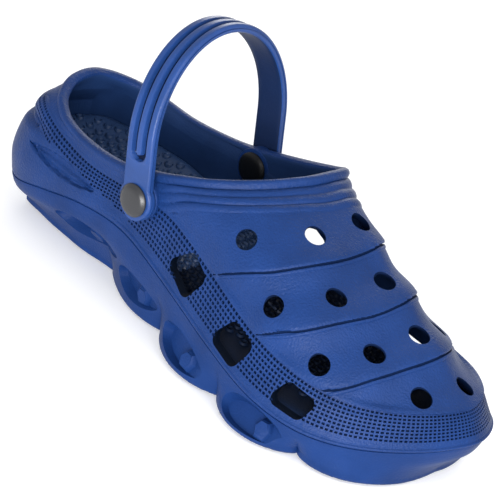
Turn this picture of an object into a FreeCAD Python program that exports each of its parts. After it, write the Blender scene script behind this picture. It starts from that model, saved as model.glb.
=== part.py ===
import FreeCAD, Part
import math
import os

# Rubber garden clog, right foot. Millimetres, +X toe, -Y lateral side, +Z up.
# The tread stands on z = 0 and x = 0 is the back of the heel.
os.makedirs("parts", exist_ok=True)
V = FreeCAD.Vector
AXIS_X = V(1, 0, 0)
AXIS_Y = V(0, 1, 0)
AXIS_Z = V(0, 0, 1)
ORIGIN = V(0, 0, 0)

# Stations round the shoe: outline x, y, then topline x, y, z, then roundness
# of the upper between the band and the topline.
STATIONS = [
    (-3.5, -1, 13, 0, 70.5, 1.1),
    (-2.2, -17.5, 15, -13, 69, 1.1),
    (5, -31, 23, -25, 65.5, 1.1),
    (21, -39, 36, -32.5, 62, 1.1),
    (52, -41, 58, -37, 60.5, 1.1),
    (85, -42, 84, -40, 63.5, 1.1),
    (115, -45.5, 104, -39.5, 71, 1.2),
    (145, -51, 115, -38, 75.5, 1.45),
    (175, -57, 129, -34, 81, 1.55),
    (205, -60.5, 142, -25, 86, 1.5),
    (230, -58, 151, -15, 89.5, 1.4),
    (250, -49.5, 156, -6, 91.5, 1.28),
    (267, -35, 159, 2, 92.5, 1.15),
    (280, -17, 160, 9, 92.8, 1.1),
    (286, 3, 160, 15.5, 92.6, 1.1),
    (283, 18, 159.5, 21.5, 91.8, 1.03),
    (273, 33.5, 158.5, 27, 90.6, 0.9),
    (255, 46.3, 156.5, 31.5, 88.6, 0.87),
    (232, 50.5, 153, 36, 86.3, 0.88),
    (208, 50, 147, 37.5, 83.3, 1.03),
    (180, 48, 133, 37, 78.3, 1.2),
    (145, 43, 110, 38.5, 70, 1.2),
    (115, 41.5, 88, 39.5, 63.3, 1.1),
    (85, 40.5, 61, 37.5, 60.2, 1.1),
    (52, 38.5, 41, 33, 62.5, 1.1),
    (22, 35.5, 25, 25, 66, 1.1),
    (5.5, 26, 16, 14, 69, 1.1),
]

# Profiles along the shoe: x, then height or inset from the outline.
SEAM_Z = [(0, 17), (15, 18.5), (40, 26.5), (65, 33.5), (95, 37), (125, 32), (165, 24.5),
          (205, 18), (235, 17), (260, 20), (288, 27)]
BAND_LOW_Z = [(0, 50), (15, 49.5), (40, 47.5), (65, 45), (95, 43), (125, 36.5), (165, 29),
              (205, 22.5), (235, 21), (260, 24.5), (288, 31)]
BAND_TOP_Z = [(0, 61), (15, 60.5), (40, 56), (65, 54), (95, 57.5), (117, 60), (135, 57),
              (155, 51.5), (193, 42), (234, 37.5), (260, 37.5), (288, 41)]
SEAM_IN = [(0, 4), (15, 3), (40, 1), (65, 0.5), (95, 0), (125, 0.5), (288, 1.5)]
BAND_LOW_IN = [(0, 4.5), (15, 4.5), (40, 3), (65, 1.5), (95, 1), (205, 1), (288, 2.5)]
BAND_TOP_IN = [(0, 12), (15, 10), (40, 6), (65, 3.5), (95, 3), (125, 4.5), (165, 7),
               (205, 8.5), (260, 9), (288, 10)]
RAW_TOP_IN = [(0, 9), (40, 6), (95, 3.6), (125, 4.8), (165, 8.4), (205, 12), (235, 14), (288, 16)]
RAW_TOP_Z = 46.0
CAVITY_TOP_Z = 62.0
CAVITY_LOW_Z = 6.0
WELL_LIFT = 1.3
# Inset of the notches between the lobes of the sole.
NOTCH_IN = [(0, 15), (20, 19), (42, 18), (60, 17), (81, 18), (129, 10.5), (180, 7.5), (233, 9.5),
            (262, 14), (288, 19)]
SEAT_Z = [(0, 31), (40, 30), (80, 30.5), (110, 29.5), (150, 24), (190, 19), (235, 18),
          (265, 20.5), (300, 25)]

CENTRE = V(105, 2, 0)
TREAD_CENTRE = V(143, -5, 0)
AROUND = 108

# Wall: thickness, and how far inside the outline its inner face stands at three heights.
WALL = 4.2
WALL_IN_SEAM = 8.0
WALL_IN_MIDDLE = 5.4
WALL_IN_BAND = WALL + 0.6
# Share of the way up from the seam to the band where the side bulges most.
BULGE_SHARE = 0.45
BULGE_IN = 0.3
# Rises of the vamp that get a ring, as shares of the way from band to lip.
VAMP_SHARES = (0.12, 0.25, 0.38, 0.52, 0.67, 0.83)
# Rounded lip at the topline: radius, then offsets out and up of its rings.
LIP_R = 2.4
LIP_RINGS = [(0.9, 0.0), (0.5, LIP_R * 0.7), (-WALL / 2, LIP_R * 1.1), (-WALL / 2 - LIP_R, LIP_R * 0.6),
             (-WALL - 0.6, -0.4)]
INSOLE_THICK = 5.0
INSOLE_GAP = 1.0
# Lobes of the sole: start x, end x, reach beyond the notches.
LOBES = [(-30, 81, 2.0), (81, 129, 8.5), (129, 180, 11.0), (180, 233, 11.0), (233, 290, 11.0)]
LOBE_FULLNESS = 0.7
TREAD_ROUND = 5.0
LOBE_Z = 5.0
SHELF_IN = 1.0
SHELF_FOLLOW = 0.12
MIDDLE_FOLLOW = 0.55
SEAM_ROLL = 0.6
# Recesses in the lobes: x, z, half length, half height, tilt in degrees.
LENSES = [(70, 21, 22, 6, 6), (111, 14, 16, 6.5, -2), (156, 9.5, 19, 6, -9), (208, 9, 20, 6, -2)]
LENS_DEPTH = 3.5
POST_HALF = 3.0
TREAD_START = 25.0
TREAD_COUNT = 16
TREAD_PITCH = 15.0
TREAD_GROOVE = 3.0
TREAD_DEPTH = 1.6

# Panel grooves over the vamp: y then x of points along each groove.
GROOVES = [
    [(-46.5, 160), (-45.5, 174), (-32.5, 190.5), (-13, 196.5), (8, 197), (24, 192.5), (34, 182)],
    [(-51, 197), (-46, 210), (-27, 221), (-10, 223.5), (8, 223.5), (24, 218), (35, 206)],
    [(-45, 237), (-41, 241.5), (-19, 249.5), (-3, 250.5), (10, 249), (24, 244), (33, 237)],
]
GROOVE_R = 1.1
GROOVE_STEPS = 24
# Ribs at the front of the collar: distances below the lip, and where they start.
RIBS_BELOW = (5.5, 10.5, 15.5)
RIBS_START_X = 116.0
# Vents through the vamp: x and y of the centres.
VENTS = [(164, -40.5), (183, -17), (185, 12), (167, 34), (193.5, -47), (210, -26), (213, 3), (203, 29),
         (225.5, -46), (237, -24), (240, 2), (233, 27), (262, -15), (266, 11)]
VENT_R = 5.0
VENT_OUT = 6.0
VENT_IN = 10.0
# Windows through the side wall: x and z of the corners.
WINDOWS = [
    [(128, 41.5), (141.5, 54), (155.5, 47.5), (147.5, 32.5)],
    [(170, 28.5), (179, 42), (195.5, 38), (190, 24)],
    [(212, 23), (218, 35), (234.5, 32.5), (231, 21.8)],
]
# The windows of the medial side lie this much further back and lower.
MEDIAL_SHIFT = [(-1, -1.5), (-3, -1), (-5, 0)]
WINDOW_ROUND = 2.5
LATERAL_SPAN = (-75.0, -38.0)
MEDIAL_SPAN = (30.0, 65.0)

# Strap pivot, seats on the side walls (outer and inner y) and the strap itself.
PIVOT_X = 102.0
PIVOT_Z = 59.0
PAD_R = 10.0
PAD_LATERAL = (-43.4, -36.0)
PAD_MEDIAL = (41.2, 33.8)
STRAP_GAP = 0.35
STRAP_WIDTH = 16.4
STRAP_THICK = 4.0
STRAP_TOP = 79.5
STRAP_STRAIGHT = 27.0
STRAP_LEAN = 12.5
STRAP_STEPS = 24
EYE_R = 10.0
# Two long grooves down the strap, joined round the foot of the middle rib.
STRAP_GROOVE_IN = 1.9
STRAP_GROOVE_OUT = 4.3
STRAP_GROOVE_DEPTH = 1.2
STRAP_GROOVE_START = 23.5

# Rivets: post and running fit, domed button outside, domed cap inside.
POST_R = 3.0
FIT = 0.06
BUTTON_R = 8.0
BUTTON_H = 3.0
CAP_R = 8.2
CAP_H = 2.6
HEAD_EDGE = 0.9
DOME_STEPS = 5
CAP_PLAY = 0.4
CAP_POCKET = 6.0
SEAT_PLAY = 0.15
POST_END = 1.6
# Length that takes a cutter clear of what it cuts.
CLEAR = 3.0


def hermite(xs, ys, x):
    """Smooth value at x through the points xs, ys."""
    x = min(max(x, xs[0]), xs[-1])
    i = 0
    while i < len(xs) - 2 and x > xs[i + 1]:
        i += 1

    def slope(k):
        a = max(k - 1, 0)
        b = min(k + 1, len(xs) - 1)
        return (ys[b] - ys[a]) / (xs[b] - xs[a])

    h = xs[i + 1] - xs[i]
    t = (x - xs[i]) / h
    m0 = slope(i) * h
    m1 = slope(i + 1) * h
    return ((2 * t ** 3 - 3 * t ** 2 + 1) * ys[i] + (t ** 3 - 2 * t ** 2 + t) * m0
            + (3 * t ** 2 - 2 * t ** 3) * ys[i + 1] + (t ** 3 - t ** 2) * m1)


def at(profile, x):
    """Value of a lengthwise profile at x."""
    return hermite([p[0] for p in profile], [p[1] for p in profile], x)


def stations(count):
    """Evenly spaced stations: outline point, inward normal, topline point, roundness."""
    wrap = 3
    rows = STATIONS[-wrap:] + STATIONS + STATIONS[:wrap]
    t = [0.0]
    for a, b in zip(rows, rows[1:]):
        t.append(t[-1] + math.hypot(b[0] - a[0], b[1] - a[1]))
    start = t[wrap]
    length = t[wrap + len(STATIONS)] - start
    cols = [[r[k] for r in rows] for k in range(6)]
    out = []
    step = 0.5
    for i in range(count):
        s = start + length * i / count
        v = [hermite(t, c, s) for c in cols]
        dx = hermite(t, cols[0], s + step) - hermite(t, cols[0], s - step)
        dy = hermite(t, cols[1], s + step) - hermite(t, cols[1], s - step)
        n = math.hypot(dx, dy)
        out.append((V(v[0], v[1], 0), V(-dy / n, dx / n, 0), V(v[2], v[3], v[4]), v[5]))
    return out


def ring(rows, inset, height):
    """Closed ring of points at an inset and a height given as functions of x."""
    pts = []
    for base, normal, edge, power in rows:
        p = base + normal * inset(base.x)
        p.z = height(base.x)
        pts.append(p)
    return pts


def rounded(a, b, n, share):
    """Point on the rounded rise from a to b, share 0 at a and 1 at b."""
    angle = share * math.pi / 2
    plan = 1 - math.cos(angle) ** (2 / n)
    rise = math.sin(angle) ** (2 / n)
    return V(a.x + (b.x - a.x) * plan, a.y + (b.y - a.y) * plan, a.z + (b.z - a.z) * rise)


def between(low, high, powers, share):
    """Ring at a share of the rounded rise from ring low to ring high."""
    return [rounded(a, b, n, share) for a, b, n in zip(low, high, powers)]


def smooth(vectors, passes):
    """Even out a closed list of directions."""
    for k in range(passes):
        count = len(vectors)
        vectors = [vectors[i - 1] + vectors[i] * 2 + vectors[(i + 1) % count] for i in range(count)]
        for v in vectors:
            v.normalize()
    return vectors


def outward(a, b, lift):
    """Directions square to ring a and to the rise towards ring b, facing out."""
    out = []
    for i in range(AROUND):
        n = (b[i] - a[i]).cross(a[(i + 1) % AROUND] - a[i - 1])
        n.normalize()
        if n.dot(V(a[i].x - CENTRE.x, a[i].y - CENTRE.y, lift)) < 0:
            n = n * -1
        out.append(n)
    return smooth(out, 2)


def moved(points, directions, by):
    """Points moved by a distance along a direction each."""
    return [p + d * by for p, d in zip(points, directions)]


def ring_edge(points):
    """Smooth closed edge through a ring of points."""
    curve = Part.BSplineCurve()
    curve.interpolate(Points=points, PeriodicFlag=True)
    return curve.toShape()


def solid_of(faces):
    """Solid sewn from faces, turned right side out."""
    shell = Part.makeShell(faces)
    shell.sewShape()
    solid = Part.makeSolid(shell)
    if solid.Volume < 0:
        solid.reverse()
    return solid


def capped(rings):
    """Solid between flat first and last rings."""
    edges = [ring_edge(r) for r in rings]
    faces = [Part.makeRuledSurface(a, b) for a, b in zip(edges, edges[1:])]
    return solid_of(faces + [Part.Face(Part.Wire([e])) for e in (edges[0], edges[-1])])


def looped(rings):
    """Solid tube whose cross-section runs through every ring and back to the first."""
    edges = [ring_edge(r) for r in rings]
    return solid_of([Part.makeRuledSurface(edges[k - 1], edges[k]) for k in range(len(edges))])


def profile_block(profile, shift, under):
    """Block under or over a lengthwise profile, wide enough to span the shoe."""
    reach = 90
    xs = [-20 + 10 * i for i in range(33)]
    pts = [V(x, -reach, at(profile, x) + shift) for x in xs]
    curve = Part.BSplineCurve()
    curve.interpolate(pts)
    z = -40 if under else 160
    a = pts[0]
    b = pts[-1]
    c = V(b.x, -reach, z)
    d = V(a.x, -reach, z)
    wire = Part.Wire([curve.toShape(), Part.makeLine(b, c), Part.makeLine(c, d), Part.makeLine(d, a)])
    return Part.Face(wire).extrude(V(0, 2 * reach, 0))


def tube(points, radius):
    """Round bar of the given radius along a smooth open path."""
    curve = Part.BSplineCurve()
    curve.interpolate(points)
    start = (points[1] - points[0])
    wire = Part.Wire([curve.toShape()])
    ring_wire = Part.Wire([Part.makeCircle(radius, points[0], start)])
    return wire.makePipeShell([ring_wire], True, False)


def box(x0, x1, y0, y1, z0, z1):
    """Box between two corners."""
    return Part.makeBox(x1 - x0, y1 - y0, z1 - z0, V(x0, y0, z0))


def disc(radius, y0, y1):
    """Cylinder about the strap pivot between two y values."""
    return Part.makeCylinder(radius, abs(y1 - y0), V(PIVOT_X, min(y0, y1), PIVOT_Z), AXIS_Y)


def lens(x, y, z, half_length, half_height, depth, tilt):
    """Flattened ellipsoid lying in the side wall, tilted about the y axis."""
    ball = Part.makeSphere(1.0)
    m = FreeCAD.Matrix()
    m.scale(V(half_length, depth, half_height))
    shape = ball.transformGeometry(m)
    shape.rotate(ORIGIN, AXIS_Y, -tilt)
    shape.translate(V(x, y, z))
    return shape


def save(shape, name):
    """Move a part to the packed origin, print its size and write its STEP."""
    shape = shape.copy()
    shape.translate(TREAD_CENTRE * -1)
    b = shape.BoundBox
    print(name, "valid", shape.isValid(), "solids", len(shape.Solids), "vol", round(shape.Volume),
          [round(v, 1) for v in (b.XMin, b.XMax, b.YMin, b.YMax, b.ZMin, b.ZMax)])
    shape.exportStep("parts/" + name + ".step")


def bulge_z(x):
    """Height of the fullest line of the side, between the seam and the band."""
    return (1 - BULGE_SHARE) * at(SEAM_Z, x) + BULGE_SHARE * at(BAND_LOW_Z, x)


rows = stations(AROUND)
powers = [r[3] for r in rows]
topline = [r[2] for r in rows]

seam = ring(rows, lambda x: at(SEAM_IN, x), lambda x: at(SEAM_Z, x))
bulge = ring(rows, lambda x: at(SEAM_IN, x) * BULGE_IN, bulge_z)
band_low = ring(rows, lambda x: at(BAND_LOW_IN, x), lambda x: at(BAND_LOW_Z, x))
band_top = ring(rows, lambda x: at(BAND_TOP_IN, x), lambda x: at(BAND_TOP_Z, x))

# Directions at the topline: up along the wall, and out across it.
ups = []
for a, b, n in zip(band_top, topline, powers):
    up = b - rounded(a, b, n, 0.75)
    up.normalize()
    up = up + AXIS_Z * 0.6
    up.normalize()
    ups.append(up)
ups = smooth(ups, 3)
outs = outward(moved(topline, ups, -1.0), topline, 12)
lip_low = moved(topline, ups, -LIP_R)


def lip(out_by, up_by):
    """Ring of the lip at offsets from the topline."""
    return moved(moved(topline, outs, out_by), ups, up_by)


vamp = [between(band_top, lip_low, powers, s) for s in VAMP_SHARES]
outer = [seam, bulge, band_low, band_top] + vamp + [lip_low]
lip_rings = [lip(out_by, up_by) for out_by, up_by in LIP_RINGS]


def inside(low, high):
    """Ring low moved one wall thickness inwards."""
    return moved(low, outward(low, high, 12), -WALL)


def inner_rings(extra, lift=0.0):
    """Rings up the inside of the wall, moved by extra towards the foot."""
    return [ring(rows, lambda x: at(SEAM_IN, x) + WALL_IN_SEAM + extra, lambda x: at(SEAM_Z, x) + lift),
            ring(rows, lambda x: max(at(SEAM_IN, x), at(BAND_LOW_IN, x)) + WALL_IN_MIDDLE + extra, bulge_z),
            ring(rows, lambda x: at(BAND_LOW_IN, x) + WALL_IN_BAND + extra, lambda x: at(BAND_LOW_Z, x))]


def well(extra):
    """Solid that fills the foot space up to a flat top, moved by extra inwards."""
    low = ring(rows, lambda x: at(SEAM_IN, x) + WALL_IN_SEAM + extra, lambda x: CAVITY_LOW_Z)
    top = ring(rows, lambda x: at(BAND_LOW_IN, x) + WALL_IN_BAND + extra, lambda x: CAVITY_TOP_Z)
    return capped([low] + inner_rings(extra, WELL_LIFT) + [top])


inner = inner_rings(0)
inner += [inside(a, b) for a, b in zip(outer[3::2], outer[4::2])]

upper = looped(outer + lip_rings + inner[::-1])


# Outsole: lobed rim from the tread to the seam, filled up to the insole seat.
def lobe_in(x):
    """Inset of the widest line of the lobes."""
    inset = at(NOTCH_IN, x)
    for start, end, reach in LOBES:
        if start < x < end:
            inset -= reach * math.sin(math.pi * (x - start) / (end - start)) ** LOBE_FULLNESS
    return inset


def shelf_in(x):
    """Inset under the seam, where the lobes fade out."""
    return at(SEAM_IN, x) + SHELF_IN + SHELF_FOLLOW * max(lobe_in(x), 0)


def middle_in(x):
    """Inset halfway up the lobes."""
    return MIDDLE_FOLLOW * lobe_in(x) + (1 - MIDDLE_FOLLOW) * shelf_in(x)


sole_rings = [
    ring(rows, lambda x: lobe_in(x) + TREAD_ROUND, lambda x: 0.0),
    ring(rows, lambda x: lobe_in(x) + 0.2 * TREAD_ROUND, lambda x: 0.3 * LOBE_Z),
    ring(rows, lobe_in, lambda x: LOBE_Z),
    ring(rows, middle_in, lambda x: 0.45 * at(SEAM_Z, x)),
    ring(rows, shelf_in, lambda x: 0.7 * at(SEAM_Z, x)),
    ring(rows, lambda x: at(SEAM_IN, x) + SEAM_ROLL, lambda x: 0.92 * at(SEAM_Z, x)),
    seam,
    ring(rows, lambda x: at(SEAM_IN, x) + 3.0, lambda x: at(SEAM_Z, x) + 2.5),
    ring(rows, lambda x: at(RAW_TOP_IN, x), lambda x: RAW_TOP_Z),
]
above_seat = profile_block(SEAT_Z, 0.0, False)
outsole = capped(sole_rings).cut(well(-1.0).common(above_seat)).cut(upper)
outsole = max(outsole.Solids, key=lambda q: q.Volume)
lens_cuts = []
for x, z, half_length, half_height, tilt in LENSES:
    for side in (-1, 1):
        near = min((r for r in rows if r[0].y * side > 0), key=lambda r: abs(r[0].x - x))
        turn = math.degrees(math.atan2(near[1].x, -near[1].y * side)) * -side
        cut = lens(0, 0, 0, half_length, half_height, LENS_DEPTH, tilt)
        cut = cut.cut(box(-POST_HALF, POST_HALF, -10, 10, -10, 10))
        cut.rotate(ORIGIN, AXIS_Z, turn)
        cut.translate(near[0] + near[1] * middle_in(x) + AXIS_Z * z)
        lens_cuts.append(cut)
treads = [box(x, x + TREAD_GROOVE, -80, 80, -5, TREAD_DEPTH)
          for x in [TREAD_START + TREAD_PITCH * k for k in range(TREAD_COUNT)]]
outsole = outsole.cut(lens_cuts + treads)
outsole = max(outsole.Solids, key=lambda q: q.Volume)

# Insole lies on the seat inside the walls.
insole = well(INSOLE_GAP).common(above_seat).common(profile_block(SEAT_Z, INSOLE_THICK, True))


# Upper details.
vamp_rings = outer[3:]
triangles = []
for low, high in zip(vamp_rings, vamp_rings[1:]):
    for k in range(AROUND):
        n = (k + 1) % AROUND
        triangles += [(low[k], low[n], high[k]), (low[n], high[n], high[k])]


def on_vamp(x, y):
    """Point on the outside of the vamp above x, y."""
    best = None
    for a, b, c in triangles:
        area = (b.x - a.x) * (c.y - a.y) - (c.x - a.x) * (b.y - a.y)
        if abs(area) < 1e-9:
            continue
        s = ((x - a.x) * (c.y - a.y) - (c.x - a.x) * (y - a.y)) / area
        t = ((b.x - a.x) * (y - a.y) - (x - a.x) * (b.y - a.y)) / area
        if min(s, t, 1 - s - t) >= -1e-6:
            z = a.z + (b.z - a.z) * s + (c.z - a.z) * t
            if best is None or z > best.z:
                best = V(x, y, z)
    return best


def vamp_normal(x, y):
    """Direction square to the vamp above x, y."""
    step = 2.5
    n = (on_vamp(x + step, y) - on_vamp(x - step, y)).cross(on_vamp(x, y + step) - on_vamp(x, y - step))
    n.normalize()
    return n


cutters = []
for path in GROOVES:
    ys = [p[0] for p in path]
    xs = [p[1] for p in path]
    steps = [ys[0] + (ys[-1] - ys[0]) * k / GROOVE_STEPS for k in range(GROOVE_STEPS + 1)]
    cutters.append(tube([on_vamp(hermite(ys, xs, y), y) for y in steps], GROOVE_R))
for below in RIBS_BELOW:
    line = []
    for p, u, o, b, n in zip(lip_low, ups, outs, band_top, powers):
        if p.x > RIBS_START_X:
            share = 1.0
            while (rounded(b, p, n, share) - p).Length < below:
                share -= 0.004
            line.append(rounded(b, p, n, share))
    cutters.append(tube(line[::4], GROOVE_R))
for x, y in VENTS:
    p = on_vamp(x, y)
    n = vamp_normal(x, y)
    cutters.append(Part.makeCylinder(VENT_R, VENT_IN + VENT_OUT, p - n * VENT_IN, n))
for corners, medial in zip(WINDOWS, MEDIAL_SHIFT):
    for (y0, y1), (dx, dz) in ((LATERAL_SPAN, (0, 0)), (MEDIAL_SPAN, medial)):
        wire = Part.makePolygon([V(x + dx, 0, z + dz) for x, z in corners + corners[:1]])
        prism = Part.Face(wire).extrude(V(0, y1 - y0, 0))
        prism.translate(V(0, y0, 0))
        sides = [e for e in prism.Edges if abs(e.Vertexes[0].Y - e.Vertexes[-1].Y) > 1]
        cutters.append(prism.makeFillet(WINDOW_ROUND, sides))
pads = [disc(PAD_R, *PAD_LATERAL), disc(PAD_R, *PAD_MEDIAL)]
bores = [disc(POST_R + FIT, PAD_LATERAL[0] - CLEAR, PAD_LATERAL[1] + CLEAR),
         disc(POST_R + FIT, PAD_MEDIAL[1] - CLEAR, PAD_MEDIAL[0] + CLEAR)]
# Flat pockets inside the wall that the rivet caps sit in.
for face, side in ((PAD_LATERAL[1], 1), (PAD_MEDIAL[1], -1)):
    bores.append(disc(CAP_R + CAP_PLAY, face, face + side * CAP_POCKET))
upper = upper.fuse(pads).cut(cutters + bores)
upper = max(upper.Solids, key=lambda q: q.Volume)

# Heel strap, drawn upright over the pivot and then leaned back.
y_low = PAD_LATERAL[0] - STRAP_GAP
y_high = PAD_MEDIAL[0] + STRAP_GAP
strap_mid = (y_low + y_high) / 2
strap_half = (y_high - y_low) / 2


def strap_face(inner_by, outer_by, base):
    """Face between two inverted U lines at offsets out from the inside of the strap."""
    spans = []
    for by in (inner_by, outer_by):
        a = strap_half + by
        b = STRAP_TOP - STRAP_STRAIGHT - STRAP_THICK + by
        turns = [math.pi * k / STRAP_STEPS for k in range(STRAP_STEPS + 1)]
        pts = [V(0, strap_mid - a * math.cos(t), STRAP_STRAIGHT + b * math.sin(t)) for t in turns]
        curve = Part.BSplineCurve()
        curve.interpolate(Points=pts, InitialTangent=AXIS_Z, FinalTangent=AXIS_Z * -1)
        spans.append((pts[0], pts[-1], curve.toShape()))
    (a0, a1, inner_line), (b0, b1, outer_line) = spans
    feet = [V(0, p.y, base) for p in (a0, b0, b1, a1)]
    legs = [(a0, feet[0]), (feet[0], feet[1]), (feet[1], b0),
            (b1, feet[2]), (feet[2], feet[3]), (feet[3], a1)]
    edges = [inner_line, outer_line] + [Part.makeLine(p, q) for p, q in legs]
    return Part.Face(Part.Wire(Part.__sortEdges__(edges)))


def band(inner_by, outer_by, base, x0, x1):
    """Strap band between two offsets, from a base height over the arch, x0 to x1 wide."""
    solid = strap_face(inner_by, outer_by, base).extrude(V(x1 - x0, 0, 0))
    solid.translate(V(x0, 0, 0))
    return solid


strap = band(0, STRAP_THICK, 0, -STRAP_WIDTH / 2, STRAP_WIDTH / 2)
strap.translate(V(PIVOT_X, 0, PIVOT_Z))
strap = strap.fuse([disc(EYE_R, y_low, y_low - STRAP_THICK), disc(EYE_R, y_high, y_high + STRAP_THICK)])
cuts = [disc(POST_R + 2 * FIT, y_low - STRAP_THICK - CLEAR, y_high + STRAP_THICK + CLEAR)]
for x0, x1 in ((-STRAP_GROOVE_OUT, -STRAP_GROOVE_IN), (STRAP_GROOVE_IN, STRAP_GROOVE_OUT)):
    run = band(STRAP_THICK - STRAP_GROOVE_DEPTH, STRAP_THICK + CLEAR, STRAP_GROOVE_START, x0, x1)
    run.translate(V(PIVOT_X, 0, PIVOT_Z))
    cuts.append(run)
for y0, y1 in ((y_low - STRAP_THICK - CLEAR, y_low - STRAP_THICK + STRAP_GROOVE_DEPTH),
               (y_high + STRAP_THICK - STRAP_GROOVE_DEPTH, y_high + STRAP_THICK + CLEAR)):
    end = disc(STRAP_GROOVE_OUT, y0, y1).cut(disc(STRAP_GROOVE_IN, y0 - 1, y1 + 1))
    above = box(PIVOT_X - EYE_R, PIVOT_X + EYE_R, y0 - 1, y1 + 1, PIVOT_Z, PIVOT_Z + EYE_R)
    end = end.cut(above)
    end.translate(V(0, 0, STRAP_GROOVE_START))
    cuts.append(end)
strap = strap.cut(cuts).removeSplitter()
strap.rotate(V(PIVOT_X, 0, PIVOT_Z), AXIS_Y, -STRAP_LEAN)


# Rivets: domed button and post outside, domed cap inside, one pair a side.
def domed(radius, height):
    """Low domed disc standing on z = 0, turned from a rim and stepped cones."""
    solid = Part.makeCylinder(radius, HEAD_EDGE)
    rise = height - HEAD_EDGE
    quarter = DOME_STEPS + 0.6
    for k in range(DOME_STEPS):
        a = math.pi / 2 * k / quarter
        b = math.pi / 2 * (k + 1) / quarter
        low = HEAD_EDGE + rise * math.sin(a)
        high = HEAD_EDGE + rise * math.sin(b)
        cone = Part.makeCone(radius * math.cos(a), radius * math.cos(b), high - low, V(0, 0, low))
        solid = solid.fuse(cone)
    return solid.removeSplitter()


def facing(solid, side, y):
    """Turn a part that points along +z to point along y * side and set it on the pivot."""
    solid.rotate(ORIGIN, AXIS_X, -90 * side)
    solid.translate(V(PIVOT_X, y, PIVOT_Z))
    return solid


for side, name, pad, eye_face in ((-1, "lateral", PAD_LATERAL, y_low - STRAP_THICK),
                                  (1, "medial", PAD_MEDIAL, y_high + STRAP_THICK)):
    button_y = eye_face + side * SEAT_PLAY
    length = abs(button_y - pad[1]) + POST_END
    post = Part.makeCylinder(POST_R, length, V(0, 0, -length))
    stud = facing(domed(BUTTON_R, BUTTON_H).fuse(post), side, button_y)
    save(stud, "rivet_stud_" + name)
    hole = Part.makeCylinder(POST_R + FIT / 2, POST_END + FIT)
    cap = facing(domed(CAP_R, CAP_H).cut(hole), -side, pad[1])
    save(cap, "rivet_cap_" + name)

save(upper, "upper")
save(outsole, "outsole")
save(insole, "insole")
save(strap, "heel_strap")
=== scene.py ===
import math

import bmesh
import bpy
import numpy as np
from mathutils import Matrix, Vector
from mathutils.bvhtree import BVHTree


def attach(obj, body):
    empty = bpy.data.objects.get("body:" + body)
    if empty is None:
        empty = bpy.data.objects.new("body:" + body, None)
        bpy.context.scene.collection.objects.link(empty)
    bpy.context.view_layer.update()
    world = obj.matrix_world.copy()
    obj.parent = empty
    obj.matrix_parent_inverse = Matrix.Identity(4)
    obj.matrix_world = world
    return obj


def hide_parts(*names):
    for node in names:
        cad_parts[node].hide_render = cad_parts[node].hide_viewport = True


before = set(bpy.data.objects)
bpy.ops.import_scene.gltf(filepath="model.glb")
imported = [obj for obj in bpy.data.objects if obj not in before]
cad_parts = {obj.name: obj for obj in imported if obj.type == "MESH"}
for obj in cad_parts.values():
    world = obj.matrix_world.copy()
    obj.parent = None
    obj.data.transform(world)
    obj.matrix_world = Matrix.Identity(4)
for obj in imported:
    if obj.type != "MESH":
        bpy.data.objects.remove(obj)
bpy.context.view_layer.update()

# Rubber garden clog. Shapes are worked out in millimetres in the shoe frame of the
# CAD source (x = 0 at the heel, z = 0 at the tread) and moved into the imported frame.
MM = 0.001
TREAD_CENTRE = np.array([143.0, -5.0, 0.0])

# Stations round the shoe: outline x, y, then topline x, y, z, then roundness.
STATIONS = np.array([
    (-3.5, -1, 13, 0, 70.5, 1.1),
    (-2.2, -17.5, 15, -13, 69, 1.1),
    (5, -31, 23, -25, 65.5, 1.1),
    (21, -39, 36, -32.5, 62, 1.1),
    (52, -41, 58, -37, 60.5, 1.1),
    (85, -42, 84, -40, 63.5, 1.1),
    (115, -45.5, 104, -39.5, 71, 1.2),
    (145, -51, 115, -38, 75.5, 1.45),
    (175, -57, 129, -34, 81, 1.55),
    (205, -60.5, 142, -25, 86, 1.5),
    (230, -58, 151, -15, 89.5, 1.4),
    (250, -49.5, 156, -6, 91.5, 1.28),
    (267, -35, 159, 2, 92.5, 1.15),
    (280, -17, 160, 9, 92.8, 1.1),
    (286, 3, 160, 15.5, 92.6, 1.1),
    (283, 18, 159.5, 21.5, 91.8, 1.03),
    (273, 33.5, 158.5, 27, 90.6, 0.9),
    (255, 46.3, 156.5, 31.5, 88.6, 0.87),
    (232, 50.5, 153, 36, 86.3, 0.88),
    (208, 50, 147, 37.5, 83.3, 1.03),
    (180, 48, 133, 37, 78.3, 1.2),
    (145, 43, 110, 38.5, 70, 1.2),
    (115, 41.5, 88, 39.5, 63.3, 1.1),
    (85, 40.5, 61, 37.5, 60.2, 1.1),
    (52, 38.5, 41, 33, 62.5, 1.1),
    (22, 35.5, 25, 25, 66, 1.1),
    (5.5, 26, 16, 14, 69, 1.1),
])

# Profiles along the shoe: x, then height or inset from the outline.
SEAM_Z = [(0, 17), (15, 18.5), (40, 26.5), (65, 33.5), (95, 37), (125, 32), (165, 24.5),
          (205, 18), (235, 17), (260, 20), (288, 27)]
BAND_LOW_Z = [(0, 50), (15, 49.5), (40, 47.5), (65, 45), (95, 43), (125, 36.5), (165, 29),
              (205, 22.5), (235, 21), (260, 24.5), (288, 31)]
BAND_TOP_Z = [(0, 61), (15, 60.5), (40, 56), (65, 54), (95, 57.5), (117, 60), (135, 57),
              (155, 51.5), (193, 42), (234, 37.5), (260, 37.5), (288, 41)]
SEAM_IN = [(0, 4), (15, 3), (40, 1), (65, 0.5), (95, 0), (125, 0.5), (288, 1.5)]
BAND_LOW_IN = [(0, 4.5), (15, 4.5), (40, 3), (65, 1.5), (95, 1), (205, 1), (288, 2.5)]
BAND_TOP_IN = [(0, 12), (15, 10), (40, 6), (65, 3.5), (95, 3), (125, 4.5), (165, 7),
               (205, 8.5), (260, 9), (288, 10)]
NOTCH_IN = [(0, 15), (20, 19), (42, 18), (60, 17), (81, 18), (129, 10.5), (180, 7.5), (233, 9.5),
            (262, 14), (288, 19)]
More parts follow.
